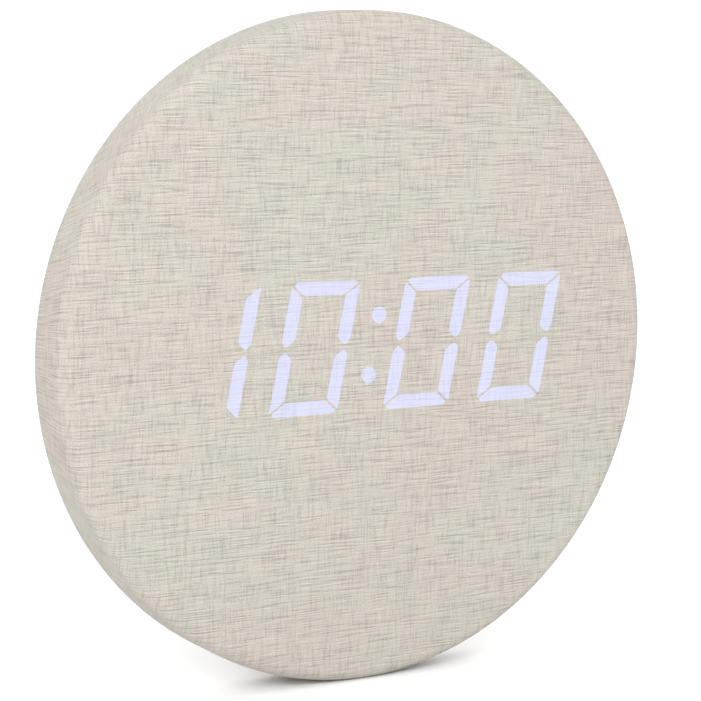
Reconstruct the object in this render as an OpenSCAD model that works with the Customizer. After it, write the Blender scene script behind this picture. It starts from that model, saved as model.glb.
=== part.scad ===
// Round bedside alarm clock: a thin disc covered in linen cloth, with slanted
// seven-segment digits that shine through the weave. It stands upright on its
// rim, steadied by two low rubber feet and a fold-out leg at the back.
// Units are millimetres. The face looks towards -Y, +X is to the right of the
// face and +Z is up. The origin is on the table, below the middle of the clock.
// A "depth" is a distance behind the cloth's face, towards +Y.

/* [Body] */
// Diameter of the disc, over the cloth
body_d = 250; // [246:1:320]
// Thickness of the disc, from the cloth's face to the rear cover
body_t = 22.4; // [21:0.1:32]
// Rounding of the front edge, over the cloth
edge_r = 5; // [3:0.5:7]
// Thickness of the cloth
cloth_t = 0.8; // [0.5:0.1:1.2]
// Side wall of the front shell
shell_wall = 2.4; // [1.6:0.1:3]
// Front wall of the front shell
face_wall = 2.2; // [1.6:0.1:3]
// Wall of the rear cover
cover_wall = 2.2; // [1.8:0.1:2.8]
// Gap left between pieces that lie against each other
fit_gap = 0.1; // [0.05:0.05:0.2]

/* [Display] */
// Half the width of the space inside a digit
digit_inner_w = 8.92; // [7:0.1:9.5]
// Half the height of the space inside a digit
digit_inner_h = 18.84; // [15:0.1:20]
// Width of an upright segment
bar_w = 5.0; // [4:0.1:5.5]
// Height of a level segment
bar_h = 5.6; // [4.5:0.1:6]
// Sideways lean of the digits for each millimetre of height
digit_slant = 0.195; // [0:0.005:0.25]
// Distance between the digits of a pair
digit_pitch = 41.6; // [38:0.1:46]
// Distance between the digits on each side of the colon
colon_pitch = 48.3; // [44:0.1:52]
// Height of the display's middle above the middle of the disc
display_rise = 2.35; // [0:0.05:8]
// Radius of a colon dot
dot_r = 3.1; // [2:0.1:4]
// Height of a colon dot above or below the display's middle
dot_rise = 11.1; // [8:0.1:14]
// Depth of the light block, from its front to the circuit board
block_t = 8; // [6:0.1:9]
// Thickness of a circuit board
board_t = 1.6; // [0.8:0.1:2]

/* [Stand] */
// Width of the fold-out leg
leg_w = 46; // [38:1:54]
// Distance from the leg's hinge to its rear end, when it stands open
leg_reach = 60; // [52:1:72]
// Height of the leg's hinge above the table
leg_axis_z = 14.5; // [13.5:0.1:18]
// Thickness of the leg
leg_t = 4; // [3:0.1:4.4]
// Radius of the leg's hinge pin
leg_pin_r = 1.5; // [1.2:0.05:1.8]
// Gap round a pin that turns in its bore
pin_gap = 0.05; // [0.03:0.01:0.08]
// Thickness of the rubber pads under the leg
pad_t = 1.4; // [1:0.1:2]
// Distance of each rim foot from the middle
rim_foot_x = 15; // [13:0.5:18]

/* [Power] */
// Diameter of a battery cell
cell_d = 10.5; // [10:0.1:11]
// Length of a battery cell, with its nub
cell_l = 44.5; // [40:0.1:46]
// Sideways place of the middle of the battery compartment
well_x = 56; // [54:1:57]
// Radius of the bore of the power socket
jack_bore_r = 2.8; // [2.5:0.05:3]

/* [Controls] */
// Radius of a push button
button_r = 4.2; // [3.6:0.1:4.6]
// Distance between two push buttons
button_pitch = 12; // [11:0.5:13]
// How far a push button stands out of the floor of its dish
button_out = 1.4; // [1:0.1:1.6]
// Depth of the dish round the push buttons
dish_t = 1.6; // [1.2:0.1:1.8]
// Travel of a push button
button_travel = 0.7; // [0.4:0.1:0.8]

/* [Fixings] */
// Radius of the shank of a rear cover screw
screw_r = 1.3; // [1.1:0.05:1.5]
// Radius of the head of a rear cover screw
screw_head_r = 2.7; // [2.4:0.1:3]

/* [Hidden] */

$fn = 96;
tiny = 0.01;                       // overshoot of a cut past a face
body_r = body_d / 2;
mid_z = body_r;                    // height of the disc's middle

// Depths of the layers, from the face to the rear
shell_front = cloth_t + fit_gap;
shell_inside = shell_front + face_wall;
cover_front = body_t - cover_wall;
hem_rear = cover_front - fit_gap;
shell_rear = hem_rear - cloth_t - fit_gap;
film_t = 0.35;
block_front = shell_front + film_t;
block_rear = block_front + block_t;
board_front = block_rear + fit_gap;
board_rear = board_front + board_t;
seal_t = 0.8;
flange_front = shell_inside + seal_t;

// Radii of the layers, from the cloth inwards
shell_r = body_r - cloth_t - fit_gap;
shell_bore = shell_r - shell_wall;
tail_r = shell_bore - fit_gap;
tail_bore = tail_r - cloth_t;
ring_r = tail_bore - fit_gap;
ring_wall = 1.4;
hem_depth = 5;                     // length of the hem inside the shell
cover_r = body_r - 0.4;

// Rear cover screws
screw_count = 6;
post_r = 3.4;
post_circle = ring_r - ring_wall - 0.4 - post_r;
pilot_r = screw_r - 0.1;
screw_l = 10;
screw_head_t = 1.5;

// Leg and its pocket in the rear cover
leg_axis_d = body_t - 4;
leg_foot_rise = 2.8;               // from the pads up to the leg's middle line
leg_slope = (leg_axis_z - pad_t - leg_foot_rise) / (leg_reach - 6);
leg_angle = atan(leg_slope);
leg_half = leg_t / 2 / cos(leg_angle);
barrel_r = 3.4;
washer_t = 0.4;
pocket_half = leg_w / 2 + washer_t + 0.1;
pocket_floor = leg_axis_d - barrel_r - 0.4;
pocket_bottom = leg_axis_z - barrel_r - 0.5;
pocket_top = leg_axis_z + leg_reach / cos(leg_angle) + 3.5;
pocket_wall = 1.8;
notch_r = 9;                       // finger notch at the pocket's top
lug_t = 4;
pin_hold = 3.5;                    // length of pin in each lug
pad_x = leg_w / 2 - 5.5;
pad_r = 3.6;
pad_stem_r = 2.4;
pad_stem_h = 1.6;
pad_inset = 6;                     // from the leg's rear end to the pads' middle
rim_stem_r = 1.6;
rim_foot_d = 13.5;                 // depth of the middle of a rim foot
rim_foot_l = 12;
rim_foot_w = 5;
rim_stem_top = 3.6;

// The whole clock is centred front to back on its open leg
face_y = -(leg_axis_d + leg_reach) / 2;

// Battery compartment, low on the right
cell_count = 3;
cell_pitch = cell_d + 0.7;
spring_l = 3.6;
contact_t = 0.5;
well_l = cell_l + spring_l + 2 * contact_t + 0.4;
well_h = cell_count * cell_pitch + 0.6;
well_bottom = 50;
well_top = well_bottom + well_h;
well_x0 = well_x - well_l / 2;
well_x1 = well_x + well_l / 2;
door_t = 1.8;
door_front = body_t - door_t;
well_floor = door_front - cell_d - 0.9;
well_wall = 1.6;
door_rim = 2;                      // how far the door laps over the compartment
door_gap = 0.45;
door_barrel_r = 2;                 // barrel of the door's hinge
door_pin_r = 1;
door_bottom = well_bottom - door_rim;
door_axis_z = well_top + door_rim + door_barrel_r;
door_axis_d = body_t - door_barrel_r;
frame_rim = 3.4;                   // thick frame round the door
frame_front = door_axis_d - door_barrel_r - door_gap - 1.2;
cell_d_mid = well_floor + 0.2 + cell_d / 2;

// Main circuit board, low on the left
main_w = 54;
main_h = 44;
main_x1 = -(pocket_half + lug_t + 2);
main_x0 = main_x1 - main_w;
main_z0 = 47;
main_z1 = main_z0 + main_h;
main_front = shell_inside + 3.4;
main_rear = main_front + board_t;
button_z = main_z0 + 31;
button_x0 = main_x0 + 7;
switch_w = 6;
switch_t = 3.6;
plunger_r = 1.7;
plunger_l = 1.4;
button_flange_r = button_r + 0.7;
button_flange_t = 1.2;
button_gap = 0.15;
button_wall = cover_front - dish_t;  // inside of the cover behind the dish
button_top = body_t - dish_t + button_out;
dish_h = 15;
dish_round = dish_h / 2 - tiny;
dish_wall = 2;
plunger_tip = main_rear + switch_t + plunger_l;
jack_x = main_x1 - 9;
jack_z = main_z0 + 10;
jack_w = 9;
jack_nose_r = 4;
jack_bore_l = 9.5;
coin_x = main_x0 + 15;
coin_z = main_z0 + 12.5;
coin_r = 10;
coin_t = 3.2;

// Display
display_z = mid_z + display_rise;
digit_x = [-colon_pitch / 2 - digit_pitch, -colon_pitch / 2,
    colon_pitch / 2, colon_pitch / 2 + digit_pitch];
digit_half_w = digit_inner_w + bar_w;
digit_half_h = digit_inner_h + bar_h;
window_half_w = digit_x[3] + digit_half_w + digit_slant * digit_half_h + 7;
window_half_h = digit_half_h + 5.5;
flange = 3;
board_half_w = window_half_w + 10;
board_half_h = window_half_h + 1;
board_post_x = board_half_w - 3.6;
board_post_z = board_half_h - 5;
rib_x = window_half_w + flange + 1.2;
rib_h = 4;                         // ribs that guide the light block
mitre = 0.5;                       // gap at a mitre, along the segment
tip_gap = 0.7;                     // from the middle line to a tip

// Sensors on the display board's rear
buzzer_x = 46;
buzzer_z = display_z + 14;
buzzer_r = 6;
buzzer_t = 7;
mic_x = -46;
mic_z = display_z + 18;
mic_r = 3;
vent_x = -64;
vent_count = 7;
vent_z = display_z + 4;

// Hanger at the top
hanger_z = mid_z + body_r - 42;
hanger_w = 40;
hanger_h = 26;
hanger_t = 1.2;
keyhole_r = 4.5;
keyhole_slot_r = 2.3;
keyhole_rise = 7;
hanger_post = 2;                   // stand-off between the plate and the cover
hanger_front = cover_front - hanger_post - hanger_t - fit_gap;

// ---------- helpers ----------

// Puts a child at a place on the disc, with the child's +Z pointing to the rear
module at(x, z, depth) {
    translate([x, face_y + depth, z]) rotate([-90, 0, 0]) children();
}

// A round bar along the depth
module peg(x, z, d0, d1, r) {
    at(x, z, d0) cylinder(h = d1 - d0, r = r);
}

// A box between two corners, given by x, z and depth
module block(x0, x1, z0, z1, d0, d1) {
    translate([x0, face_y + d0, z0]) cube([x1 - x0, d1 - d0, z1 - z0]);
}

// A rectangle with round corners, centred
module round_rect(w, h, r) {
    square([w - 2 * r, h], center = true);
    square([w, h - 2 * r], center = true);
    for (sx = [-1, 1])
        for (sy = [-1, 1])
            translate([sx * (w / 2 - r), sy * (h / 2 - r)]) circle(r = r);
}

// A plate with round corners, centred at a place on the disc
module plate(x, z, w, h, r, d0, d1) {
    at(x, z, d0) linear_extrude(height = d1 - d0) round_rect(w, h, r);
}

// Half the section of a cup of radius r: a face, a rounded edge and a wall
module cup_half(r, edge, d0, d1) {
    translate([0, d0]) square([r - edge, d1 - d0]);
    translate([0, d0 + edge]) square([r, d1 - d0 - edge]);
    translate([r - edge, d0 + edge]) circle(r = edge);
}

// A turned solid about the disc's axis
module turned() {
    at(0, mid_z, 0) rotate_extrude($fn = 180)
        intersection() {
            square([body_r + 1, body_t + 1]);
            children();
        }
}

// The places on the cover's screw circle
module on_screw_circle() {
    for (i = [0 : screw_count - 1]) {
        angle = i * 360 / screw_count;
        translate([post_circle * cos(angle), 0, post_circle * sin(angle)]) children();
    }
}

// The four fixing places of the display board
module on_display_posts() {
    for (sx = [-1, 1])
        for (sz = [-1, 1])
            translate([sx * board_post_x, 0, display_z + sz * board_post_z]) children();
}

// The three fixing places of the main board
module on_main_posts() {
    translate([main_x0 + 3.2, 0, main_z1 - 3.5]) children();
    translate([main_x1 - 20, 0, main_z0 + 4]) children();
    translate([main_x1 - 3.2, 0, main_z0 + 26]) children();
}

// A tube swept along points; ref is a direction that the path never takes
function unit(v) = v / norm(v);
function tangent(p, i) = unit(p[min(i + 1, len(p) - 1)] - p[max(i - 1, 0)]);
function ring(p, i, r, n, ref) =
    let (t = tangent(p, i), a = unit(cross(t, ref)), b = cross(a, t))
    [for (k = [0 : n - 1]) p[i] + r * (a * cos(360 * k / n) + b * sin(360 * k / n))];
function curve(p, i, s) =
    let (a = p[max(i - 1, 0)], b = p[i], c = p[i + 1], d = p[min(i + 2, len(p) - 1)])
    0.5 * (2 * b + (c - a) * s + (2 * a - 5 * b + 4 * c - d) * s * s
    + (3 * b - a - 3 * c + d) * s * s * s);
function smooth(p, steps) =
    [for (i = [0 : len(p) - 2]) for (k = [0 : steps - 1]) curve(p, i, k / steps), p[len(p) - 1]];

module tube(p, r, n, ref) {
    m = len(p);
    points = [for (i = [0 : m - 1]) each ring(p, i, r, n, ref)];
    sides = [for (i = [0 : m - 2]) for (k = [0 : n - 1])
        [i * n + k, i * n + (k + 1) % n, (i + 1) * n + (k + 1) % n, (i + 1) * n + k]];
    start = [for (k = [0 : n - 1]) n - 1 - k];
    finish = [for (k = [0 : n - 1]) (m - 1) * n + k];
    polyhedron(points = points, faces = concat([start], sides, [finish]));
}

// ---------- digits ----------

// Leans a point of a digit sideways; children of at() count y downwards
function lean(p) = [p[0] + digit_slant * p[1], -p[1]];
function leant(points) = [for (p = points) lean(p)];

// Right upper segment of a digit, about the digit's middle
upright = [[digit_inner_w, tip_gap + 2.8], [digit_half_w - 1.9, tip_gap],
    [digit_half_w, tip_gap + 2], [digit_half_w, digit_half_h - 2.6],
    [digit_half_w - 0.3, digit_half_h - 1.7],
    [digit_inner_w, digit_inner_h - mitre]];
// Top segment of a digit
level = [[-digit_inner_w + mitre, digit_inner_h], [digit_inner_w - mitre, digit_inner_h],
    [digit_half_w - 0.9, digit_half_h - 1.1], [digit_half_w - 1.9, digit_half_h - 0.2],
    [digit_half_w - 2.6, digit_half_h], [-digit_half_w + 2.6, digit_half_h],
    [-digit_half_w + 1.9, digit_half_h - 0.2], [-digit_half_w + 0.9, digit_half_h - 1.1]];
// Middle segment of a digit
middle = [[-digit_inner_w - 1.6, 0], [-digit_inner_w + 1, bar_h / 2 - 0.2],
    [digit_inner_w - 1, bar_h / 2 - 0.2], [digit_inner_w + 1.6, 0],
    [digit_inner_w - 1, -bar_h / 2 + 0.2], [-digit_inner_w + 1, -bar_h / 2 + 0.2]];
function flip(points, sx, sy) = [for (p = points) [p[0] * sx, p[1] * sy]];

// All seven segments of one digit
module digit_outline() {
    for (sx = [-1, 1])
        for (sy = [-1, 1])
            polygon(leant(flip(upright, sx, sy)));
    for (sy = [-1, 1])
        polygon(leant(flip(level, 1, sy)));
    polygon(leant(middle));
}

// Middles of the two light emitters of each segment
led_spots = [for (sx = [-1, 1]) for (y = [-15, -7.5, 7.5, 15]) [sx * (digit_inner_w + 2.4), y],
    for (y = [-digit_inner_h - 2.7, 0, digit_inner_h + 2.7]) for (x = [-4.5, 4.5]) [x, y]];

// ---------- covers ----------

module fabric_cover() {
    color("antiquewhite") difference() {
        turned() {
            difference() {
                cup_half(body_r, edge_r, 0, hem_rear);
                cup_half(body_r - cloth_t, edge_r - cloth_t, cloth_t, hem_rear + 1);
            }
            translate([tail_bore, hem_rear - cloth_t])
                square([body_r - cloth_t / 2 - tail_bore, cloth_t]);
            translate([tail_bore, hem_rear - hem_depth]) square([cloth_t, hem_depth]);
        }
        rim_foot_holes();
    }
}

// Holes for the stems of the rim feet
module rim_foot_holes() {
    for (sx = [-1, 1])
        peg_up(sx * rim_foot_x, rim_foot_d, 0, 8, rim_stem_r + fit_gap / 2);
}

module shell_cup() {
    turned() difference() {
        cup_half(shell_r, edge_r - cloth_t, shell_front, shell_rear);
        cup_half(shell_bore, 2, shell_inside, shell_rear + 1);
    }
}

module front_shell() {
    color("gainsboro") difference() {
        union() {
            shell_cup();
            on_screw_circle() peg(0, mid_z, shell_inside - tiny, cover_front - fit_gap, post_r);
            on_display_posts() peg(0, 0, shell_inside - tiny, board_front - fit_gap, 3.2);
            on_main_posts() peg(0, 0, shell_inside - tiny, main_front - fit_gap, 2.6);
            for (sx = [-1, 1])
                at(sx * rib_x, display_z, shell_inside - tiny)
                    linear_extrude(height = rib_h) square([1.4, 2 * board_post_z - 8], center = true);
        }
        plate(0, display_z, 2 * window_half_w, 2 * window_half_h, 3, 0, shell_inside + 1);
        on_screw_circle() peg(0, mid_z, cover_front - screw_l - 1, body_t, pilot_r);
        on_display_posts() peg(0, 0, shell_inside + 0.6, body_t, 0.95);
        on_main_posts() peg(0, 0, shell_inside - 0.6, body_t, 0.95);
        rim_foot_holes();
    }
}

// A round bar standing upright on the table
module peg_up(x, depth, z0, z1, r) {
    translate([x, face_y + depth, z0]) cylinder(h = z1 - z0, r = r);
}

module hem_ring() {
    color("white") turned() translate([ring_r - ring_wall, hem_rear - hem_depth])
        square([ring_wall, hem_depth - 0.2]);
}

// ---------- display ----------

module diffuser_film() {
    color("whitesmoke") plate(0, display_z, 2 * window_half_w - 0.4, 2 * window_half_h - 0.4, 2.8,
        shell_front, block_front);
}

module light_seal() {
    color("dimgray") difference() {
        plate(0, display_z, 2 * (window_half_w + flange), 2 * (window_half_h + 0.8), 3.4,
            shell_inside, flange_front);
        plate(0, display_z, 2 * window_half_w, 2 * window_half_h, 3, 0, flange_front + 1);
    }
}

module light_block() {
    color("white") difference() {
        union() {
            plate(0, display_z, 2 * window_half_w - 0.4, 2 * window_half_h - 0.4, 2.8,
                block_front, block_rear);
            plate(0, display_z, 2 * (window_half_w + flange), 2 * (window_half_h + 0.8), 3.4,
                flange_front, block_rear);
        }
        at(0, display_z, 0) linear_extrude(height = body_t) {
            for (x = digit_x) translate([x, 0]) digit_outline();
            for (s = [-1, 1]) translate(lean([0, s * dot_rise])) circle(r = dot_r);
        }
    }
}

module display_board() {
    color("darkgreen") difference() {
        plate(0, display_z, 2 * board_half_w, 2 * board_half_h, 2, board_front, board_rear);
        on_display_posts() peg(0, 0, 0, body_t, 1.25);
    }
}

module segment_leds() {
    color("lightyellow") at(0, display_z, board_front - 0.6) linear_extrude(height = 0.6) {
        for (x = digit_x)
            for (p = led_spots)
                translate([x, 0] + lean(p)) square([1.6, 0.8], center = true);
        for (s = [-1, 1])
            translate(lean([0, s * dot_rise])) square([1.6, 0.8], center = true);
    }
}

// A flat chip with legs down both long sides, lying on a board's rear
module chip(x, z, depth, w, h, legs) {
    block(x - w / 2, x + w / 2, z - h / 2, z + h / 2, depth + 0.15, depth + 1.6);
    for (i = [0 : legs - 1]) {
        leg_x = x - w / 2 + (i + 0.5) * w / legs;
        block(leg_x - 0.2, leg_x + 0.2, z - h / 2 - 1, z + h / 2 + 1, depth, depth + 0.4);
    }
}

module driver_chips() {
    color("black") for (sx = [-1, 1])
        chip(sx * 24, display_z - 8, board_rear, 12, 5, 12);
}

// A pan head screw whose head sits at a depth, with its shank towards the face
module board_screw(head_depth) {
    peg(0, 0, head_depth, head_depth + 1.3, 2);
    peg(0, 0, head_depth - 5, head_depth + 0.5, 0.9);
}

module display_screws() {
    color("silver") on_display_posts() difference() {
        board_screw(board_rear);
        for (turn = [0, 90])
            at(0, 0, board_rear + 0.8) rotate([0, 0, turn]) translate([-1.1, -0.2, 0])
                cube([2.2, 0.4, 1]);
    }
}

module microphone() {
    color("gray") difference() {
        peg(mic_x, mic_z, board_rear, board_rear + 5, mic_r);
        peg(mic_x, mic_z, board_rear + 4.6, board_rear + 6, 1);
    }
}

module buzzer() {
    color("black") difference() {
        peg(buzzer_x, buzzer_z, board_rear, board_rear + buzzer_t, buzzer_r);
        peg(buzzer_x, buzzer_z, board_rear + buzzer_t - 2, board_rear + buzzer_t + 1, 1.2);
    }
}

module thermistor() {
    color("black") {
        peg(vent_x, vent_z, board_rear + 3, board_rear + 4.6, 1.2);
        for (sx = [-1, 1])
            peg(vent_x + sx * 0.6, vent_z, board_rear, board_rear + 3.4, 0.25);
    }
}

// Flat cable between the boards, with a connector at each end
cable_x = main_x1 - 12;
cable_w = 14;
cable_t = 0.5;
plug_h = 5;
plug_t = 2.6;
display_plug_z = display_z - board_half_h + 2.5 + plug_h / 2;
main_plug_z = main_z1 - 1 - plug_h / 2;

module display_connector() {
    color("ivory") block(cable_x - cable_w / 2 - 1.5, cable_x + cable_w / 2 + 1.5,
        display_plug_z - plug_h / 2, display_plug_z + plug_h / 2, board_rear, board_rear + plug_t);
}

module main_connector() {
    color("ivory") block(cable_x - cable_w / 2 - 1.5, cable_x + cable_w / 2 + 1.5,
        main_plug_z - plug_h / 2, main_plug_z + plug_h / 2, main_rear, main_rear + plug_t);
}

module ribbon_cable() {
    // Outline seen from the side: up from the main board's plug to the display board's
    z0 = main_plug_z + plug_h / 2;
    z1 = display_plug_z - plug_h / 2;
    d0 = main_rear + plug_t / 2;
    d1 = board_rear + plug_t / 2;
    side = [for (i = [0 : 12])
        let (s = i / 12, e = s * s * (3 - 2 * s)) [d0 + (d1 - d0) * e, z0 + (z1 - z0) * s]];
    other = [for (i = [12 : -1 : 0]) side[i] + [cable_t, 0]];
    color("lightgray") translate([cable_x - cable_w / 2, face_y, 0])
        rotate([90, 0, 90]) linear_extrude(height = cable_w) polygon(concat(side, other));
}

// ---------- main board ----------

module main_board() {
    color("darkgreen") difference() {
        block(main_x0, main_x1, main_z0, main_z1, main_front, main_rear);
        on_main_posts() peg(0, 0, 0, body_t, 1.25);
    }
}

module controller_chip() {
    color("black") translate([0, 2 * face_y + 2 * main_front, 0]) mirror([0, 1, 0])
        chip(main_x0 + 36, main_z0 + 20, main_front, 10, 8, 10);
}

module crystal() {
    color("silver") translate([main_x1 - 20, face_y + main_rear + 1, main_z0 + 14])
        cylinder(h = 6, r = 1);
}

module coin_holder() {
    color("black") difference() {
        plate(coin_x, coin_z, 2 * coin_r + 3, 2 * coin_r + 3, 3, main_rear, main_rear + 4.6);
        peg(coin_x, coin_z, main_rear + 1, body_t, coin_r + 0.1);
    }
}

module coin_cell() {
    color("silver") {
        peg(coin_x, coin_z, main_rear + 1, main_rear + 1 + coin_t - 0.4, coin_r - 0.1);
        peg(coin_x, coin_z, main_rear + 1 + coin_t - 0.5, main_rear + 1 + coin_t, coin_r - 1.2);
    }
}

module power_socket() {
    color("black") difference() {
        union() {
            block(jack_x - jack_w / 2, jack_x + jack_w / 2, jack_z - 5, jack_z + 5,
                main_rear, cover_front - 0.3);
            peg(jack_x, jack_z, cover_front - 1, body_t, jack_nose_r);
        }
        difference() {
            peg(jack_x, jack_z, body_t - jack_bore_l, body_t + 1, jack_bore_r);
            peg(jack_x, jack_z, 0, body_t - 1, 1);
        }
    }
}

module on_buttons() {
    for (i = [0 : 3])
        translate([button_x0 + i * button_pitch, 0, button_z]) children();
}

module tact_switches() {
    color("dimgray") on_buttons() difference() {
        block(-switch_w / 2, switch_w / 2, -switch_w / 2, switch_w / 2, main_rear,
            main_rear + switch_t);
        peg(0, 0, main_rear + switch_t - button_travel - 1, body_t, plunger_r + 0.05);
    }
}

module main_board_screws() {
    color("silver") on_main_posts() board_screw(main_rear);
}

// The small plunger in each switch, and the button in front of it
module plunger(i) {
    color("ivory") translate([button_x0 + i * button_pitch, 0, button_z])
        peg(0, 0, main_rear + switch_t - 0.2, plunger_tip - fit_gap, plunger_r);
}

module button(i) {
    color("white") translate([button_x0 + i * button_pitch, 0, button_z]) {
        peg(0, 0, button_wall - button_gap - button_flange_t, button_wall - button_gap,
            button_flange_r);
        peg(0, 0, button_wall - button_gap - tiny, button_top - 0.6, button_r);
        at(0, 0, button_top - 0.6) cylinder(h = 0.6, r1 = button_r, r2 = button_r - 0.6);
        peg(0, 0, plunger_tip, button_wall - button_gap - button_flange_t + tiny, 1.5);
    }
}

module plunger_1() { plunger(0); }
module plunger_2() { plunger(1); }
module plunger_3() { plunger(2); }
module plunger_4() { plunger(3); }
module set_button() { button(0); }
module up_button() { button(1); }
module down_button() { button(2); }
module light_button() { button(3); }

// ---------- rear cover ----------

// Space for the folded leg, with a finger notch at its top
module leg_pocket(grow) {
    block(-pocket_half - grow, pocket_half + grow, pocket_bottom - grow, pocket_top + grow,
        pocket_floor - grow, body_t + 1);
    peg(0, pocket_top, pocket_floor - grow, body_t + 1, notch_r + grow);
}

// The dish that the push buttons sit in
module button_dish(grow, d0, d1) {
    plate(button_x0 + 1.5 * button_pitch, button_z, 3 * button_pitch + dish_h + 2 * grow,
        dish_h + 2 * grow, dish_round + grow, d0, d1);
}

module door_recess() {
    half_w = well_l / 2 + door_rim + 0.3;
    block(well_x - half_w, well_x + half_w, door_bottom - 0.3, door_axis_z + door_barrel_r + door_gap,
        door_front - fit_gap, body_t + 1);
    block(well_x - half_w, well_x + half_w, door_axis_z - door_barrel_r - door_gap,
        door_axis_z + door_barrel_r + door_gap, door_axis_d - door_barrel_r - door_gap, body_t + 1);
}

module rear_cover() {
    color("white") difference() {
        union() {
            turned() translate([0, cover_front]) square([cover_r, cover_wall]);
            // Walls round the leg's pocket, cut off at the rear face
            intersection() {
                leg_pocket(pocket_wall);
                block(-body_r, body_r, 0, body_d, 0, body_t);
            }
            for (sx = [-1, 1])
                translate([sx * (pocket_half + lug_t / 2), face_y + leg_axis_d, leg_axis_z])
                    rotate([0, 90, 0]) cylinder(h = lug_t, r = 4, center = true);
            // Battery compartment and the thick frame round its door
            block(well_x0 - well_wall, well_x1 + well_wall, well_bottom - well_wall,
                well_top + well_wall, well_floor - well_wall, body_t);
            block(well_x0 - frame_rim - door_rim, well_x1 + frame_rim + door_rim,
                door_bottom - frame_rim, door_axis_z + door_barrel_r + frame_rim, frame_front, body_t);
            button_dish(dish_wall, button_wall, body_t - 0.5);
            // Posts for the hanger plate's screws
            for (sx = [-1, 1])
                peg(sx * (hanger_w / 2 - 5), hanger_z, cover_front - hanger_post, body_t - 0.6, 3);
            // Stop rib under the open leg
            block(-leg_w / 2, leg_w / 2, pocket_bottom - 1, leg_stop_z(), body_t - 1.4, body_t);
        }
        difference() {
            leg_pocket(0);
            block(-leg_w / 2, leg_w / 2, 0, leg_stop_z(), body_t - 1.4, body_t);
        }
        translate([0, face_y + leg_axis_d, leg_axis_z]) rotate([0, 90, 0])
            cylinder(h = 2 * (pocket_half + pin_hold), r = leg_pin_r + pin_gap / 2, center = true);
        door_recess();
        block(well_x0, well_x1, well_bottom, well_top, well_floor, body_t + 1);
        translate([well_x, face_y + door_axis_d, door_axis_z]) rotate([0, 90, 0])
            cylinder(h = well_l + 2 * door_rim + 4, r = door_pin_r + pin_gap / 2, center = true);
        // Lead notch in the compartment's inner wall
        block(well_x0 - well_wall - 1, well_x0 + 0.1, well_top - 4, well_top - 1,
            well_floor + 1, well_floor + 5.4);
        // Screws, buttons, socket and hanger
        on_screw_circle() {
            peg(0, mid_z, 0, body_t + 1, screw_r + 0.2);
            peg(0, mid_z, body_t - screw_head_t, body_t + 1, screw_head_r + 0.3);
        }
        button_dish(0, body_t - dish_t, body_t + 1);
        on_buttons() peg(0, 0, button_wall - 1, body_t + 1, button_r + button_gap);
        peg(jack_x, jack_z, cover_front - 1, body_t + 1, jack_nose_r + 0.3);
        plate(0, hanger_z, 14, 22, 3, cover_front - 1, body_t + 1);
        for (sx = [-1, 1])
            peg(sx * (hanger_w / 2 - 5), hanger_z, 0, body_t - 0.8, 0.95);
        // Sound holes, microphone hole and vents
        for (ring_i = [0 : 2])
            for (k = [0 : max(0, 6 * ring_i - 1)])
                peg(buzzer_x + ring_i * 2.6 * cos(60 * k / max(1, ring_i)),
                    buzzer_z + ring_i * 2.6 * sin(60 * k / max(1, ring_i)),
                    cover_front - 1, body_t + 1, 0.8);
        peg(mic_x, mic_z, cover_front - 1, body_t + 1, 0.8);
        for (i = [0 : vent_count - 1])
            plate(vent_x, vent_z + (i - (vent_count - 1) / 2) * 3.6, 18, 1.6, 0.79,
                cover_front - 1, body_t + 1);
    }
}

// Height of the rib that the open leg rests on
function leg_stop_z() = leg_axis_z - (body_t - leg_axis_d) * leg_slope - leg_half - 0.15;

module rear_cover_screws() {
    color("silver") on_screw_circle() difference() {
        union() {
            peg(0, mid_z, body_t - screw_head_t, body_t - 0.1, screw_head_r);
            peg(0, mid_z, body_t - screw_head_t - screw_l, body_t - screw_head_t + tiny,
                pilot_r - 0.02);
        }
        for (turn = [0, 90])
            at(0, mid_z, body_t - 1) rotate([0, 0, turn]) translate([-1.6, -0.3, 0])
                cube([3.2, 0.6, 1]);
    }
}

// ---------- batteries ----------

function cell_z(i) = well_bottom + 0.3 + cell_pitch * (i + 0.5);
function cell_dir(i) = i % 2 == 0 ? 1 : -1;

// Turns a child drawn along +X about the middle of one cell
module at_cell(i) {
    translate([well_x, face_y + cell_d_mid, cell_z(i)]) rotate([0, 0, cell_dir(i) == 1 ? 0 : 180])
        children();
}

module battery(i) {
    color("slategray") at_cell(i)
        translate([spring_l / 2 - cell_l / 2, 0, 0]) rotate([0, 90, 0]) {
            cylinder(h = cell_l - 1, r = cell_d / 2);
            cylinder(h = cell_l, r = 1.9);
        }
}

module battery_1() { battery(0); }
module battery_2() { battery(1); }
module battery_3() { battery(2); }

module battery_springs() {
    turns = 3.5;
    steps = 42;
    color("silver") for (i = [0 : cell_count - 1])
        at_cell(i) translate([-well_l / 2 + contact_t + 0.45, 0, 0])
            tube([for (k = [0 : steps]) let (s = k / steps, r = 3.6 - 1.8 * s)
                [s * (spring_l - 0.75), r * cos(360 * turns * s), r * sin(360 * turns * s)]],
                0.3, 6, [1, 0, 0]);
}

module battery_contacts() {
    color("silver") for (i = [0 : cell_count - 1])
        for (side = [-1, 1])
            at_cell(i) translate([side * (well_l / 2 - contact_t / 2) - contact_t / 2 + 0.02 * -side,
                -4.6, -4.6]) cube([contact_t, 9.2, 9.2]);
}

lead_r = 0.7;
lead_z = (well_top + display_z - board_half_h) / 2;
lead_rise = 1.5;                       // of each lead above or below lead_z
red_start = well_floor + 2;
black_start = well_floor + 4.4;
// A leg pocket as tall as the leads pushes both forward together, clear of its front
lead_clear_d = pocket_floor - pocket_wall - lead_r - fit_gap;
pocket_meets_leads = pocket_top + pocket_wall + fit_gap > lead_z - lead_rise - lead_r;
lead_shift = pocket_meets_leads ? max(0, black_start - lead_clear_d) : 0;

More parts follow.
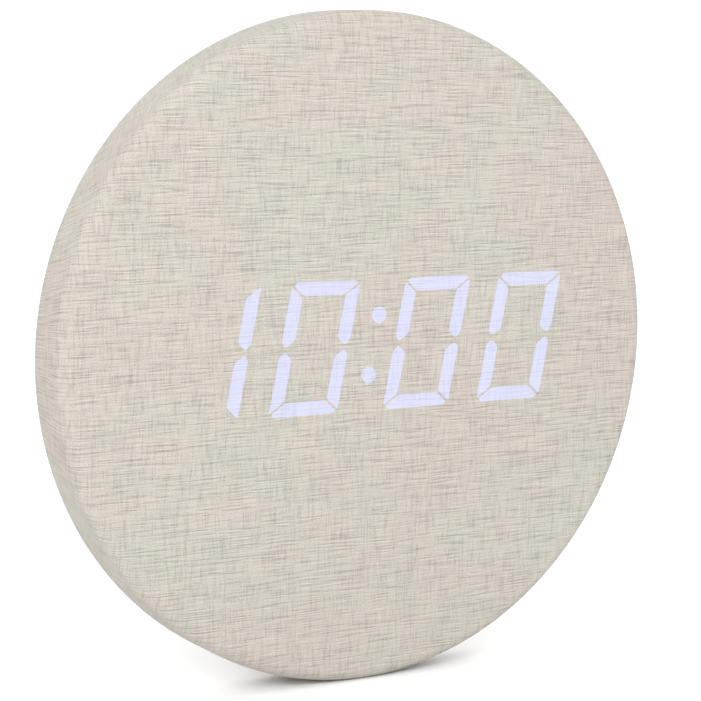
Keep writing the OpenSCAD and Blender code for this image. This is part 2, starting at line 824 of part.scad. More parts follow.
// Lead from the battery compartment over the leg's pocket to the main board
module lead(rise, start) {
    x0 = well_x0 - well_wall - 1;
    x1 = main_x1 - 3;
    end_z = main_z0 + 33 + rise;
    turn_d = start - lead_shift;
    bend = (start + well_floor) / 2;
    route = [[x0, start, well_top - 2.5], [x0 - 3, turn_d, well_top - 1 + rise / 2],
        [20, bend, lead_z + rise], [0, well_floor + 1, lead_z + rise + 1],
        [-20, well_floor + 1, lead_z + rise - 1], [main_x1 + 1, main_rear + 2, end_z + 1],
        [x1, main_rear + lead_r + fit_gap, end_z]];
    translate([0, face_y, 0]) tube(smooth(route, 8), lead_r, 8, [0, 1, 0]);
}

module battery_lead_red() { color("red") lead(lead_rise, red_start); }
module battery_lead_black() { color("black") lead(-lead_rise, black_start); }

module battery_door() {
    half_w = well_l / 2 + door_rim;
    color("white") difference() {
        union() {
            block(well_x - half_w, well_x + half_w, door_bottom, door_axis_z, door_front, body_t);
            translate([well_x, face_y + door_axis_d, door_axis_z]) rotate([0, 90, 0])
                cylinder(h = 2 * half_w, r = door_barrel_r, center = true);
        }
        translate([well_x, face_y + door_axis_d, door_axis_z]) rotate([0, 90, 0])
            cylinder(h = well_l + 20, r = door_pin_r + pin_gap, center = true);
        // Finger scoop and grip grooves at the free edge
        peg(well_x, door_bottom - 3, body_t - 0.9, body_t + 1, 7);
        for (k = [0 : 4])
            block(well_x - 7, well_x + 7, door_bottom + 7 + 2 * k, door_bottom + 7.8 + 2 * k,
                body_t - 0.4, body_t + 1);
    }
}

module door_pin() {
    color("silver") translate([well_x, face_y + door_axis_d, door_axis_z]) rotate([0, 90, 0])
        cylinder(h = well_l + 2 * door_rim + 3.6, r = door_pin_r, center = true);
}

// ---------- hanger ----------

module hanger_plate() {
    color("silver") difference() {
        plate(0, hanger_z, hanger_w, hanger_h, 3, hanger_front, hanger_front + hanger_t);
        at(0, hanger_z, 0) linear_extrude(height = body_t) {
            translate([0, keyhole_rise / 2]) circle(r = keyhole_r);
            translate([0, -keyhole_rise]) circle(r = keyhole_slot_r);
            translate([-keyhole_slot_r, -keyhole_rise]) square([2 * keyhole_slot_r, keyhole_rise]);
        }
        for (sx = [-1, 1])
            peg(sx * (hanger_w / 2 - 5), hanger_z, 0, body_t, 1.2);
    }
}

module hanger_screws() {
    color("silver") for (sx = [-1, 1]) {
        peg(sx * (hanger_w / 2 - 5), hanger_z, hanger_front - 1.3, hanger_front, 2);
        peg(sx * (hanger_w / 2 - 5), hanger_z, hanger_front - tiny, body_t - 1.2, 0.9);
    }
}

// ---------- leg and feet ----------

// Side view of the open leg, about its hinge: plate and foot
module leg_side() {
    sole = -(leg_axis_z - pad_t);
    heel = leg_reach - 2 * pad_inset;
    polygon([[0, leg_half], [leg_reach, leg_half - leg_reach * leg_slope], [leg_reach, sole],
        [heel, sole], [heel - 3, -leg_half - (heel - 3) * leg_slope], [0, -leg_half]]);
}

module stand_leg() {
    color("white") difference() {
        intersection() {
            translate([-leg_w / 2, face_y + leg_axis_d, leg_axis_z]) rotate([90, 0, 90]) {
                cylinder(h = leg_w, r = barrel_r);
                linear_extrude(height = leg_w) leg_side();
            }
            translate([0, face_y + leg_axis_d + leg_reach / 2 - 6, 0])
                linear_extrude(height = 60) round_rect(leg_w, leg_reach + 12, 6);
        }
        translate([0, face_y + leg_axis_d, leg_axis_z]) rotate([0, 90, 0])
            cylinder(h = leg_w + 1, r = leg_pin_r + pin_gap, center = true);
        for (sx = [-1, 1])
            peg_up(sx * pad_x, leg_axis_d + leg_reach - pad_inset, 0, pad_t + pad_stem_h + 0.1,
                pad_stem_r + 0.05);
        // Shallow panel on the leg's upper side, between its rails
        translate([0, face_y + leg_axis_d, leg_axis_z]) rotate([-leg_angle, 0, 0])
            translate([0, leg_reach / 2 + 2, leg_t / 2 - 1]) linear_extrude(height = 5)
                round_rect(leg_w - 12, leg_reach - 18, 4);
    }
}

module leg_pin() {
    color("silver") translate([0, face_y + leg_axis_d, leg_axis_z]) rotate([0, 90, 0])
        cylinder(h = 2 * (pocket_half + pin_hold) - 0.4, r = leg_pin_r, center = true);
}

module friction_washers() {
    color("gray") for (sx = [-1, 1])
        translate([sx * (leg_w / 2 + 0.05 + washer_t / 2), face_y + leg_axis_d, leg_axis_z])
            rotate([0, 90, 0]) difference() {
                cylinder(h = washer_t, r = barrel_r - 0.4, center = true);
                cylinder(h = 2, r = leg_pin_r + pin_gap, center = true);
            }
}

module leg_pads() {
    color("dimgray") for (sx = [-1, 1]) {
        peg_up(sx * pad_x, leg_axis_d + leg_reach - pad_inset, 0, pad_t, pad_r);
        peg_up(sx * pad_x, leg_axis_d + leg_reach - pad_inset, pad_t - tiny, pad_t + pad_stem_h,
            pad_stem_r);
    }
}

// Low rubber feet, each pressed through the cloth into the shell's wall
module rim_feet() {
    rim_z = body_r - sqrt(pow(body_r, 2) - pow(rim_foot_x - rim_foot_w / 2, 2));
    color("gray") for (sx = [-1, 1]) {
        translate([sx * rim_foot_x, face_y + rim_foot_d, 0])
            linear_extrude(height = rim_z) round_rect(rim_foot_w, rim_foot_l, 2.4);
        peg_up(sx * rim_foot_x, rim_foot_d, rim_z - tiny, rim_stem_top, rim_stem_r);
    }
}

fabric_cover();
front_shell();
hem_ring();
diffuser_film();
light_seal();
light_block();
display_board();
segment_leds();
driver_chips();
display_screws();
microphone();
buzzer();
thermistor();
display_connector();
ribbon_cable();
main_connector();
main_board();
controller_chip();
crystal();
coin_holder();
coin_cell();
power_socket();
tact_switches();
main_board_screws();
plunger_1();
plunger_2();
plunger_3();
plunger_4();
set_button();
up_button();
down_button();
light_button();
rear_cover();
rear_cover_screws();
battery_1();
battery_2();
battery_3();
battery_springs();
battery_contacts();
battery_lead_red();
battery_lead_black();
battery_door();
door_pin();
hanger_plate();
hanger_screws();
stand_leg();
leg_pin();
friction_washers();
leg_pads();
rim_feet();
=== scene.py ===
"""Looks of the round linen-covered alarm clock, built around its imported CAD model.

The linen cover is its own mesh, with slubs in the surface and the lit segments cut
into it. Every CAD piece that stays gets a procedural material. All sizes are in
metres, in the CAD model's frame: the face looks towards -Y and +Z is up.
"""
import math

import bmesh
import bpy
import numpy as np
from mathutils import Matrix, Vector
from mathutils.geometry import delaunay_2d_cdt


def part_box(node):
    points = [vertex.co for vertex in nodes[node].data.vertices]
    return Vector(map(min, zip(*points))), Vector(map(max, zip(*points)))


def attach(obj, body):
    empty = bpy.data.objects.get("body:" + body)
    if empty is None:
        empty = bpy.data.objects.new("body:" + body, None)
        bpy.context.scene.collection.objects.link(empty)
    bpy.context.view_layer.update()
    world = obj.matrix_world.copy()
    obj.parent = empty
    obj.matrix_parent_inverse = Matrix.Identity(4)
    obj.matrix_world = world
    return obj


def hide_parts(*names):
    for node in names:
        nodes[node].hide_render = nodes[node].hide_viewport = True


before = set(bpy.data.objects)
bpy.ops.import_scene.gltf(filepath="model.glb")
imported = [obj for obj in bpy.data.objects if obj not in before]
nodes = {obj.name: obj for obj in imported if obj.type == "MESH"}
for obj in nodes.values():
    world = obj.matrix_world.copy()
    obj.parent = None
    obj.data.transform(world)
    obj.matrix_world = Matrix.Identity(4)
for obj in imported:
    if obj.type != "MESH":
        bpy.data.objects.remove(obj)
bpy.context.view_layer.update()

MM = 0.001
scene = bpy.context.scene
scene.view_settings.view_transform = "Standard"

# ---------- sizes taken from the CAD model ----------
cloth_low, cloth_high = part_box("fabric_cover")
RADIUS = (cloth_high.x - cloth_low.x) / 2
FACE_Y = cloth_low.y
HEM_Y = cloth_high.y
MID_Z = (cloth_high.z + cloth_low.z) / 2
CLOTH_T = 0.8 * MM
EDGE_R = 5 * MM
FLAT_R = RADIUS - EDGE_R
# The cloth's rear edge stands as a thin lip over the rim of the rear cover
LIP_T = 0.34 * MM
LIP_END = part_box("rear_cover")[1].y - 0.2 * MM - FACE_Y
# The hem's tail turns in behind the shell: how far in from the side, and how far forward
TAIL_INSET, TAIL_LONG = 3.4 * MM, 5 * MM
FOLD_GAP = 0.01 * MM

# ---------- the mesh of the cloth ----------
ROW, COLUMN = 0.5 * MM, 2.0 * MM  # a cell of the face, across the weft and along it
HALF_ROWS, HALF_COLUMNS = 240, 60
ROW_CLEAR = 0.6 * MM  # the cells end this far inside the rim's ring
RING_COUNT = 1120  # points round the rim, a multiple of 4
ANGLES = np.arange(RING_COUNT) * 2 * math.pi / RING_COUNT
# Count, half length, half width and height in millimetres, and whether they follow the warp
SLUBS = ((950, 13, 0.32, 0.055, False), (360, 9, 0.45, 0.035, True))
SLUB_FIELD = 0.14  # slubs have their middles within this of the disc's middle, in metres
SLUB_TOP = 0.13 * MM
CLOTH_SINK = 0.06 * MM  # the cloth lies this far back, so that its slubs stay by the CAD face
LIP_PLAIN = 0.1 * MM  # the lip's end, this far in from the side, has no slubs

# ---------- the digits, as they glow through the cloth over the light block's wells ----------
DIGIT_INNER = Vector((8.92, 19.34)) * MM
BAR_W, BAR_H = 5.45 * MM, 5.1 * MM
DIGIT_SLANT = 0.195
DIGIT_X = [-65.65 * MM, -24.35 * MM, 23.95 * MM, 65.55 * MM]
DISPLAY_RISE = 2.35 * MM
DOT_R, DOT_RISE, DOT_X = 3.1 * MM, 11.1 * MM, 0.8 * MM
CORNER_R = 1.0 * MM
ONE_STRETCH = 1.035  # the figure 1 stands a little taller than the others
SHOWN = "10:00"


def new_object(name, mesh, *materials):
    """Makes a bmesh into an object of the scene with those materials, in order."""
    data = bpy.data.meshes.new(name)
    mesh.to_mesh(data)
    mesh.free()
    for material in materials:
        data.materials.append(material)
    piece = bpy.data.objects.new(name, data)
    scene.collection.objects.link(piece)
    return piece


# ====================================================================
# Shader helpers
# ====================================================================
class Shader:
    """A material that is built one node at a time around one Principled shader."""

    def __init__(self, name, colour, roughness, metallic=0.0, **plain):
        self.material = bpy.data.materials.new(name)
        self.material.use_nodes = True
        self.tree = self.material.node_tree
        self.main = self.tree.nodes["Principled BSDF"]
        self.set(self.main, {"Base Color": (*colour, 1), "Roughness": roughness,
                             "Metallic": metallic})
        self.set(self.main, {k.replace("_", " "): v for k, v in plain.items()})
        self.material.diffuse_color = (*colour, 1)

    def set(self, node, sockets):
        for name, value in sockets.items():
            socket = node.inputs[name]
            if isinstance(value, bpy.types.NodeSocket):
                self.tree.links.new(value, socket)
            else:
                socket.default_value = value

    def add(self, kind, out, sockets=None, **settings):
        """Adds a node and returns its output socket named or numbered out."""
        node = self.tree.nodes.new("ShaderNode" + kind)
        for name, value in settings.items():
            setattr(node, name, value)
        self.set(node, sockets or {})
        return node.outputs[out]

    def place(self, scale=(1, 1, 1), turn=(0, 0, 0)):
        """The point on the object in metres, turned and scaled."""
        point = self.add("TexCoord", "Object")
        return self.add("Mapping", "Vector", {"Vector": point, "Scale": scale, "Rotation": turn})

    def noise(self, vector, scale=1.0, detail=2.0, rough=0.5, distortion=0.0):
        return self.add("TexNoise", "Fac", {"Vector": vector, "Scale": scale, "Detail": detail,
                                            "Roughness": rough, "Distortion": distortion})

    def math(self, operation, a, b=0.0, clamp=False):
        return self.add("Math", 0, {0: a, 1: b}, operation=operation, use_clamp=clamp)

    def span(self, value, low, high, to_low=0.0, to_high=1.0):
        return self.add("MapRange", "Result", {"Value": value, "From Min": low, "From Max": high,
                                               "To Min": to_low, "To Max": to_high})

    def blend(self, factor, a, b, mode="MIX"):
        node = self.tree.nodes.new("ShaderNodeMix")
        node.data_type, node.blend_type = "RGBA", mode
        a, b = ((*c, 1) if isinstance(c, tuple) and len(c) == 3 else c for c in (a, b))
        self.set(node, {0: factor, 6: a, 7: b})
        return node.outputs[2]

    def edges(self, radius=0.35 * MM):
        """A normal with softened edges, and a mask that is 1 along them."""
        soft = self.add("Bevel", "Normal", {"Radius": radius}, samples=6)
        true = self.add("NewGeometry", "Normal")
        same = self.add("VectorMath", "Value", {0: soft, 1: true}, operation="DOT_PRODUCT")
        return soft, self.span(same, 0.995, 0.90)

    def bump(self, height, distance, normal=None, strength=1.0):
        sockets = {"Height": height, "Distance": distance, "Strength": strength}
        if normal is not None:
            sockets["Normal"] = normal
        return self.add("Bump", "Normal", sockets)

    def finish(self, **sockets):
        self.set(self.main, {k.replace("_", " "): v for k, v in sockets.items()})
        return self.material


def tint(colour, amount):
    return tuple(min(1.0, c * amount) for c in colour)


def moulded(name, colour, roughness=0.45, grain=0.28 * MM, depth=0.012 * MM, **plain):
    """Moulded plastic: a spark-eroded grain, faint flow marks, and edges that are smoother from
    wear and lighter from a painted highlight.
    """
    s = Shader(name, colour, roughness, **plain)
    fine = s.noise(s.place(), 1 / grain, 3, 0.55)
    flow = s.noise(s.place((1, 1, 0.35)), 22, 3, 0.6, 0.6)
    dust = s.noise(s.place(), 240, 4, 0.7)
    soft, edge_wear_and_highlight = s.edges()
    base = s.blend(s.span(flow, 0.3, 0.7), tint(colour, 0.965), tint(colour, 1.02))
    base = s.blend(s.span(dust, 0.62, 0.78, 0, 0.35), base, tint(colour, 0.9))
    # Painted highlight: the colour is lighter along the edges; the lower roughness there stands
    # for wear
    base = s.blend(s.math("MULTIPLY", edge_wear_and_highlight, 0.45), base, tint(colour, 1.12))
    rough = s.math("ADD", s.span(fine, 0.3, 0.7, roughness - 0.06, roughness + 0.07),
                   s.math("MULTIPLY", edge_wear_and_highlight, -0.12))
    return s.finish(Base_Color=base, Roughness=rough, Normal=s.bump(fine, depth, soft))


def rubber(name, colour, roughness=0.8):
    """Soft rubber: matt, with a fine bloom and pores."""
    s = Shader(name, colour, roughness, Specular_IOR_Level=0.35)
    fine = s.noise(s.place(), 3200, 2)
    bloom = s.noise(s.place(), 320, 4, 0.7)
    soft, edge_wear_and_highlight = s.edges(0.3 * MM)
    base = s.blend(s.span(bloom, 0.35, 0.7), tint(colour, 0.85), tint(colour, 1.18))
    # Painted highlight: the colour is lighter along the edges
    base = s.blend(s.math("MULTIPLY", edge_wear_and_highlight, 0.3), base, tint(colour, 1.4))
    rough = s.span(bloom, 0.3, 0.7, roughness - 0.1, roughness + 0.08)
    return s.finish(Base_Color=base, Roughness=rough, Normal=s.bump(fine, 0.02 * MM, soft))


def metal(name, colour, roughness=0.32, grain=(1, 1, 1), stain=0.12, depth=0.004 * MM):
    """Plated or bare metal: fine scratches along one way, faint stains, and a painted highlight
    along the edges.
    """
    s = Shader(name, colour, roughness, 1.0)
    lines = s.noise(s.place(grain), 1800, 4, 0.65)
    cloud = s.noise(s.place(), 260, 4, 0.6, 0.4)
    soft, edge_wear_and_highlight = s.edges(0.2 * MM)
    base = s.blend(s.span(cloud, 0.35, 0.7), tint(colour, 1 - stain), tint(colour, 1.05))
    # Painted highlight: the colour is brighter along the edges
    base = s.blend(s.math("MULTIPLY", edge_wear_and_highlight, 0.5), base, tint(colour, 1.25))
    rough = s.math("ADD", s.span(lines, 0.3, 0.7, roughness - 0.07, roughness + 0.09),
                   s.span(cloud, 0.4, 0.75, 0, stain))
    return s.finish(Base_Color=base, Roughness=rough, Normal=s.bump(lines, depth, soft))


def circuit_board(name, colour):
    """Green solder resist over raised copper tracks, with tinned pads."""
    s = Shader(name, colour, 0.3, Coat_Weight=0.35, Coat_Roughness=0.12)
    plane = s.place((1, 0, 1))
    tracks = s.add("TexVoronoi", "Distance", {"Vector": plane, "Scale": 210.0, "Randomness": 1.0},
                   feature="F1", distance="MANHATTAN")
    edge = s.add("TexVoronoi", "Distance", {"Vector": plane, "Scale": 130.0, "Randomness": 0.9},
                 feature="DISTANCE_TO_EDGE")
    track = s.span(edge, 0.05, 0.09, 1, 0)
    pads = s.add("TexVoronoi", "Distance", {"Vector": plane, "Scale": 260.0, "Randomness": 0.35},
                 feature="F1")
    pad = s.span(pads, 0.16, 0.20, 1, 0)
    cloud = s.noise(s.place(), 90, 3)
    base = s.blend(s.span(cloud, 0.3, 0.7), tint(colour, 0.85), tint(colour, 1.1))
    base = s.blend(s.math("MULTIPLY", track, 0.55), base, tint(colour, 1.7))
    base = s.blend(pad, base, (0.72, 0.70, 0.64))
    height = s.math("ADD", s.math("MULTIPLY", track, 0.5), s.math("MULTIPLY", pad, 0.8))
    height = s.math("ADD", height, s.math("MULTIPLY", tracks, 0.05))
    rough = s.span(cloud, 0.3, 0.7, 0.24, 0.38)
    return s.finish(Base_Color=base, Roughness=rough, Normal=s.bump(height, 0.04 * MM))


def cell_sleeve(name, colour, plus_x, minus_x):
    """Shrink sleeve of a battery cell: a band towards its plus end, bare steel at both ends."""
    s = Shader(name, colour, 0.28, Coat_Weight=0.4, Coat_Roughness=0.1)
    x = s.add("SeparateXYZ", "X", {0: s.add("TexCoord", "Object")})
    wobble = s.noise(s.place(), 700, 2)
    along = s.add("MapRange", "Result", {"Value": x, "From Min": minus_x, "From Max": plus_x},
                  clamp=False)
    band = s.span(along, 0.742, 0.746)
    steel = s.math("MAXIMUM", s.span(along, 0.966, 0.969), s.span(along, 0.016, 0.013))
    flake = s.noise(s.place(), 2600, 2)
    base = s.blend(s.span(flake, 0.35, 0.65), tint(colour, 0.88), tint(colour, 1.15))
    base = s.blend(band, base, (0.62, 0.44, 0.22))
    base = s.blend(steel, base, (0.70, 0.70, 0.69))
    rough = s.span(wobble, 0.3, 0.7, 0.22, 0.36)
    shiny = s.math("MAXIMUM", steel, s.math("MULTIPLY", band, 0.8))
    return s.finish(Base_Color=base, Roughness=rough, Metallic=shiny,
                    Normal=s.bump(wobble, 0.015 * MM))


def ribbon_cable(name, colour):
    """Flat cable: fourteen round conductors side by side, the first one marked."""
    s = Shader(name, colour, 0.35)
    low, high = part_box("ribbon_cable")
    x = s.add("SeparateXYZ", "X", {0: s.add("TexCoord", "Object")})
    across = s.span(x, low.x, high.x, 0, 14)
    ridge = s.math("ABSOLUTE", s.math("SINE", s.math("MULTIPLY", across, math.pi)))
    cloud = s.noise(s.place(), 400, 3)
    # Painted shade: the colour is darker in the grooves between the conductors
    base = s.blend(s.span(ridge, 0.05, 0.5), tint(colour, 0.7), colour)
    base = s.blend(s.span(across, 1.0, 0.98), base, (0.60, 0.05, 0.04))
    rough = s.span(cloud, 0.3, 0.7, 0.3, 0.45)
    return s.finish(Base_Color=base, Roughness=rough, Normal=s.bump(ridge, 0.15 * MM))


def foam(name, colour):
    """Closed-cell foam with open cut cells."""
    s = Shader(name, colour, 0.95, Specular_IOR_Level=0.2)
    cells = s.add("TexVoronoi", "Distance", {"Vector": s.place(), "Scale": 3600.0}, feature="F1")
    cloud = s.noise(s.place(), 500, 3)
    # Painted shade and light: the colour is darker in the hollows of the cut cells and lighter on
    # their walls
    base = s.blend(s.span(cells, 0.1, 0.6), tint(colour, 0.6), tint(colour, 1.6))
    base = s.blend(s.span(cloud, 0.35, 0.7, 0, 0.4), base, tint(colour, 1.3))
    return s.finish(Base_Color=base, Normal=s.bump(cells, 0.08 * MM))


def emitter(name, colour):
    """Light emitter: a white reflector cup with a yellow phosphor lens."""
    s = Shader(name, colour, 0.3, Coat_Weight=0.5)
    lens = s.add("TexVoronoi", "Distance", {"Vector": s.place(), "Scale": 1500.0}, feature="F1")
    base = s.blend(s.span(lens, 0.2, 0.6), (0.93, 0.80, 0.35), colour)
    rough = s.span(lens, 0.2, 0.6, 0.18, 0.4)
    return s.finish(Base_Color=base, Roughness=rough, Normal=s.bump(lens, 0.03 * MM))


# ====================================================================
# Linen
# ====================================================================
UV_SPAN = 0.304  # width of the flat cut that one turn of the UV map covers
WEFT_PITCH, WARP_PITCH = 0.44, 0.50  # millimetres between threads
WEFT_DRIFT, WARP_DRIFT = 15.0, 9.0  # millimetres along which a thread's tone changes
THICK_PITCH = 1.8 * WEFT_PITCH
TONE = 0.125  # how far a thread's tone strays
WEAVE_DEPTH = 0.07 * MM
LIT_WEAVE = 0.3  # share of the threads' tone that shows in the glow
LINEN = (0.418, 0.388, 0.347)
LIT_BASE = (0.10, 0.10, 0.11)
LIT_GLOW = (0.585, 0.595, 0.79)


def linen(name, colour, lit=False):
    """Slubbed plain weave: long weft threads over shorter warp threads, in tinted yarn.

    Every thread has its own tone, which drifts along it. Threads follow the flat cut's own
    directions, so they run on over the rim.
    """
    s = Shader(name, colour, 0.92, Sheen_Weight=0.08, Sheen_Roughness=0.45,
               Specular_IOR_Level=0.2)
    uv = s.add("UVMap", "UV", uv_map="flat_cut")
    flat = s.add("Mapping", "Vector", {"Vector": uv, "Scale": (UV_SPAN / MM, UV_SPAN / MM, 1)})

    def spots(along, across, detail, shift):
        """Noise with soft spots of that size in millimetres."""
        vector = s.add("Mapping", "Vector", {"Vector": flat, "Location": (shift, shift, 0),
                                             "Scale": (1 / along, 1 / across, 1)})
        return s.noise(vector, 1.0, detail, 0.5)

    sway = s.math("MULTIPLY", s.math("SUBTRACT", spots(30, 22, 2, 9.0), 0.5), 1.1)
    u = s.math("ADD", s.add("SeparateXYZ", "X", {0: flat}), sway)
    v = s.math("ADD", s.add("SeparateXYZ", "Y", {0: flat}), sway)

    def threads(across, along, pitch, drift, shift):
        """Tone of each thread, and how round it stands at that point."""
        count = s.math("DIVIDE", across, pitch)
        which = s.math("ADD", s.math("MULTIPLY", s.math("FLOOR", count), 7.31), shift)
        vector = s.add("CombineXYZ", 0, {0: s.math("DIVIDE", along, drift), 1: which})
        tone = s.add("TexNoise", "Fac", {"Vector": vector, "Scale": 1.0, "Detail": 1.0},
                     noise_dimensions="2D")
        side = s.math("MULTIPLY", s.math("FRACT", count), math.pi)
        return tone, s.math("SINE", side)

    weft, weft_round = threads(v, u, WEFT_PITCH, WEFT_DRIFT, 3.3)
    beside, _ = threads(s.math("ADD", v, WEFT_PITCH), u, WEFT_PITCH, WEFT_DRIFT, 3.3)
    warp, warp_round = threads(u, v, WARP_PITCH, WARP_DRIFT, 61.7)
    thick_weft, thick_round = threads(v, u, THICK_PITCH, WEFT_DRIFT, 17.9)
    nap = spots(0.5, 0.4, 2, 2.0)

    cool = (colour[0] * 0.965, colour[1], colour[2] * 0.99)
    rosy = (colour[0] * 1.004, colour[1] * 0.976, colour[2] * 0.985)
    base = s.blend(s.span(spots(24, 18, 2, 5.0), 0.4, 0.6), colour, cool)
    base = s.blend(s.span(spots(75, 60, 1, 41.0), 0.46, 0.66), base, rosy)
    shade = s.span(nap, 0.25, 0.75, 1 - 1.5 * TONE, 1 + 1.7 * TONE)
    for tone, amount in ((weft, 0.8), (beside, -0.55), (warp, 0.45), (thick_weft, 0.12)):
        shade = s.math("ADD", shade, s.span(tone, 0.3, 0.7, amount * TONE, -amount * TONE))
    # A few threads are much darker, and the gaps beside them are darkened as painted shade
    for tone, stands, amount in ((weft, weft_round, 0.9), (warp, warp_round, 0.6)):
        dark = s.span(tone, 0.57, 0.73, 0, amount * TONE)
        dark_thread_and_gap_shade = s.math("ADD", 0.6, s.math("SUBTRACT", 1.0, stands))
        shade = s.math("SUBTRACT", shade, s.math("MULTIPLY", dark_thread_and_gap_shade, dark))
    toned = s.add("VectorMath", "Vector", {0: base, "Scale": shade}, operation="SCALE")
    height = s.math("ADD", s.math("MULTIPLY", weft_round, s.math("ADD", weft, 0.3)),
                    s.math("MULTIPLY", warp_round, s.math("MULTIPLY", warp, 0.8)))
    height = s.math("ADD", height, s.math("MULTIPLY", thick_round, s.span(thick_weft, 0.38, 0.22)))
    if lit:
        bright = s.math("ADD", 1 - LIT_WEAVE, s.math("MULTIPLY", shade, LIT_WEAVE))
        glow = s.add("VectorMath", "Vector", {0: LIT_GLOW, "Scale": bright}, operation="SCALE")
        return s.finish(Base_Color=toned, Emission_Color=glow, Emission_Strength=1.0,
                        Normal=s.bump(height, WEAVE_DEPTH * 0.4))
    return s.finish(Base_Color=toned, Normal=s.bump(height, WEAVE_DEPTH))


def rounded(points, radius):
    """A convex outline with each corner replaced by a short curve of three points."""
    outline = []
    for before, corner, after in zip(points[-1:] + points[:-1], points, points[1:] + points[:1]):
        corner = Vector(corner)
        ends = []
        for other in (before, after):
            step = Vector(other) - corner
            ends.append(corner + step.normalized() * min(radius, step.length * 0.4))
        outline += [tuple(ends[0]), tuple((ends[0] + 2 * corner + ends[1]) / 4), tuple(ends[1])]
    return outline


def segment_shapes():
    """The outlines of the lit segments and dots, as convex polygons about the disc's middle.

    Each bar is drawn once, for the upper right quarter of an upright digit, and mirrored.
    """
    iw, ih = DIGIT_INNER
    hw, hh = iw + BAR_W, ih + BAR_H
    mitre, tip = 0.5 * MM, 0.7 * MM
    upright = [(iw, tip + 2.8 * MM), (hw - 1.9 * MM, tip), (hw, tip + 2 * MM), (hw, hh - 2.6 * MM),
               (hw - 0.3 * MM, hh - 1.7 * MM), (iw, ih - mitre)]
    level = [(mitre - iw, ih), (iw - mitre, ih), (hw - 0.9 * MM, hh - 1.1 * MM),
             (hw - 1.9 * MM, hh - 0.2 * MM), (hw - 2.6 * MM, hh), (2.6 * MM - hw, hh),
             (1.9 * MM - hw, hh - 0.2 * MM), (0.9 * MM - hw, hh - 1.1 * MM)]
    middle = [(-iw - 1.6 * MM, 0), (1 * MM - iw, BAR_H / 2 - 0.2 * MM),
              (iw - 1 * MM, BAR_H / 2 - 0.2 * MM), (iw + 1.6 * MM, 0),
              (iw - 1 * MM, 0.2 * MM - BAR_H / 2), (1 * MM - iw, 0.2 * MM - BAR_H / 2)]
    parts = {"a": (level, 1, 1), "b": (upright, 1, 1), "c": (upright, 1, -1), "d": (level, 1, -1),
             "e": (upright, -1, -1), "f": (upright, -1, 1), "g": (middle, 1, 1)}
    lit = {"0": "abcdef", "1": "bc"}
    shapes = []
    for x0, figure in zip(DIGIT_X, SHOWN.replace(":", "")):
        tall = ONE_STRETCH if figure == "1" else 1.0
        for part in lit[figure]:
            points, sx, sy = parts[part]
            shapes.append(rounded([(x0 + sx * x + DIGIT_SLANT * sy * y * tall,
                                    DISPLAY_RISE + sy * y * tall) for x, y in points], CORNER_R))
    for side in (-1, 1):
        y0 = side * DOT_RISE
        shapes.append([(DOT_X + DIGIT_SLANT * y0 + DOT_R * math.cos(t),
                        DISPLAY_RISE + y0 + DOT_R * math.sin(t))
                       for t in np.linspace(0, 2 * math.pi, 28, endpoint=False)])
    return shapes


def slub_height(u, v):
    """Height of the slubs and thick threads in the cloth, for points of its flat cut."""
    random = np.random.default_rng(20)
    height = np.zeros(len(u))
    for count, length, width, rise, upright in SLUBS:
        a, b = (v, u) if upright else (u, v)
        order = np.argsort(b)
        a_sorted, b_sorted = a[order], b[order]
        total = np.zeros(len(u))
        for _ in range(count):
            a0, b0 = random.uniform(-SLUB_FIELD, SLUB_FIELD, 2)
            half = length * MM * random.uniform(0.4, 2.2)
            thin = width * MM * random.uniform(0.8, 1.3)
            tall = rise * MM * random.uniform(0.3, 1.0)
            sway, phase = 0.25 * MM * random.random(), random.uniform(0, 6.3)
            i, j = np.searchsorted(b_sorted, [b0 - 4 * thin - sway, b0 + 4 * thin + sway])
            p, q = a_sorted[i:j], b_sorted[i:j]
            line = b0 + sway * np.sin((p - a0) / (9 * MM) + phase)
            ends = np.clip(1 - ((p - a0) / half) ** 2, 0, 1)
            total[i:j] += tall * ends * np.exp(-(((q - line) / thin) ** 2))
        height[order] += total
    return np.minimum(height, SLUB_TOP)


def cover_profile():
    """The cloth's section as points (radius, depth behind the face), in two runs.

    The first is what shows: over the rim, along the side and round the lip. The second is the
    hem, its tail, and the inside back to the face.
    """
    def arc(r0, d0, radius, start, stop, steps):
        return [(r0 + radius * math.cos(t), d0 + radius * math.sin(t))
                for t in np.linspace(math.radians(start), math.radians(stop), steps + 1)]

    hem = HEM_Y - FACE_Y
    t = CLOTH_T
    tail_out = RADIUS - TAIL_INSET
    tail_in = tail_out - t
    tail_end = hem - TAIL_LONG
    fold = hem - t - FOLD_GAP
    outer = arc(FLAT_R, EDGE_R, EDGE_R, -90, 0, 9)
    outer += [(RADIUS, d) for d in np.linspace(EDGE_R, LIP_END - LIP_T / 2, 13)[1:-1]]
    outer += arc(RADIUS - LIP_T / 2, LIP_END - LIP_T / 2, LIP_T / 2, 0, 180, 4)
    hidden = [(RADIUS - LIP_T, hem)] + arc(tail_in + t, hem - t, t, 90, 180, 3)
    hidden += [(tail_in, tail_end), (tail_out, tail_end), (tail_out, fold), (RADIUS - t, fold)]
    hidden += arc(FLAT_R, EDGE_R, EDGE_R - t, 0, -90, 5)
    return outer, hidden


